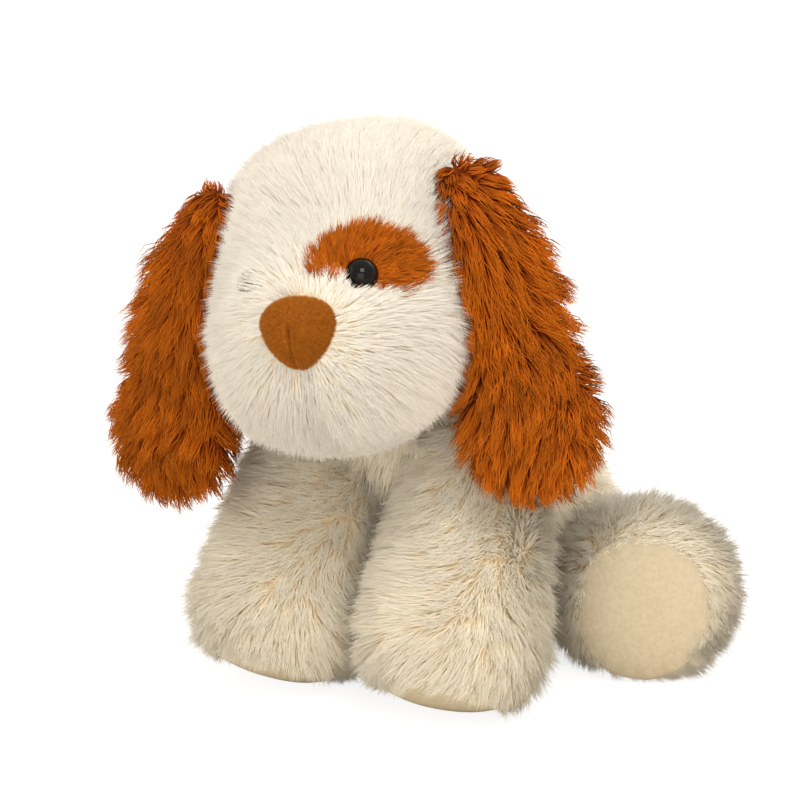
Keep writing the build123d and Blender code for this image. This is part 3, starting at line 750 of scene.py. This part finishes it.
# ---------------------------------------------------------------- ears
# Each ear is a long leaf of two layers of rust plush, turned out and sewn on high at the side of the head.
# It is not stuffed. Its pile is the longest on the toy and hangs in pointed locks.
ear_root = cranium + np.array([0.0635, -0.018, 0.018])
ear_span, ear_half_width, ear_thinness = 0.113, 0.028, 0.30
leaf_form = ((0, 0, 0), 0.0135, (0, 0, ear_span), 0.0255)
for side, way, hang, sweep in (("left", 1, 8, 28), ("right", -1, 25, 22)):
    sweep, hang = math.radians(sweep), math.radians(hang)
    across_head = np.array([math.cos(sweep), math.sin(sweep), 0])
    downward = across_head * math.sin(hang) + np.array([0, 0, -math.cos(hang)])
    across = across_head * math.cos(hang) + np.array([0, 0, math.sin(hang)])
    facing = np.cross(downward, across)
    stand, flip = np.array([across, facing, downward]), np.array([way, 1, 1])

    def laid_leaf(points, outward):
        """A round drop pressed to three tenths of its thickness, a little hollow across, and hung from its
        root."""
        bow = 0.003 * (points[:, 0] / ear_half_width) ** 2 - 0.002 * np.sin(points[:, 2] / ear_span * 2.2)
        flat = np.stack([points[:, 0], points[:, 1] * ear_thinness - bow, points[:, 2]], 1)
        tilted = unit(outward / np.array([1, ear_thinness, 1]))
        place, lie = flat @ stand, tilted @ stand
        return seat_head((ear_root + place) * flip), seat_head(lie * flip, True)

    points, outward = bag_points(leaf_form, 48, 48)
    laid, _ = laid_leaf(points, outward)
    faces = closed_grid(48, 48)
    cover(f"{side}_ear_leaf", laid, faces if way > 0 else faces[:, ::-1], rust_backing, f"{side}_ear",
          (f"{side}_ear_front_panel", f"{side}_ear_back_panel"))
    points, outward = spread_roots(leaf_form, 26000)
    share = np.sqrt(0.09 * (1 - outward[:, 1] ** 2) + outward[:, 1] ** 2)
    kept = np.flatnonzero(chance.random(len(points)) < share)[:12000]
    points, outward = points[kept], outward[kept]
    roots, out = laid_leaf(points, outward)
    fan = 0.35 + 0.9 * np.clip(1 - points[:, 2] / 0.075, 0, 1)
    hung = (np.outer(points[:, 0] / ear_half_width * fan, across) + downward) * flip
    comb = swirled(roots, out, combed(out, seat_head(hung, True)), 0.45, 0.02)
    fullness = np.clip(points[:, 2] / 0.025 + 0.55, 0.45, 1)
    fullness = fullness + 0.25 * np.exp(-((points[:, 2] - 0.035) / 0.025) ** 2)
    edge = 1 - np.abs(outward[:, 1])
    pile(f"{side}_ear_pile", rust_pile, f"{side}_ear", "ear_fur", roots, out, comb,
         (0.024 - 0.005 * edge) * fullness, 0.00052, (0.30, 1.15), 0.0068, 0.74, 0.05, (0, 0.35, 0.7, 1))


# ---------------------------------------------------------------- parts kept as drawn
# The sewing thread round the neck, the plastic eye washers and the seat's cloth bag of plastic beads stay as
# drawn. Each takes a finish of its own colour.
for node, colour in (
    ("neck_seam_thread", (0.78, 0.70, 0.55)),
    ("left_eye_washer", (0.75, 0.74, 0.70)),
    ("right_eye_washer", (0.75, 0.74, 0.70)),
    ("seat_pellet_bag", (0.80, 0.78, 0.72)),
    ("seat_pellets", (0.82, 0.82, 0.80)),
):
    finish = backing_material(f"{node}_finish", colour, tuple(0.85 * value for value in colour))
    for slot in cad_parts[node].material_slots:
        slot.material = finish
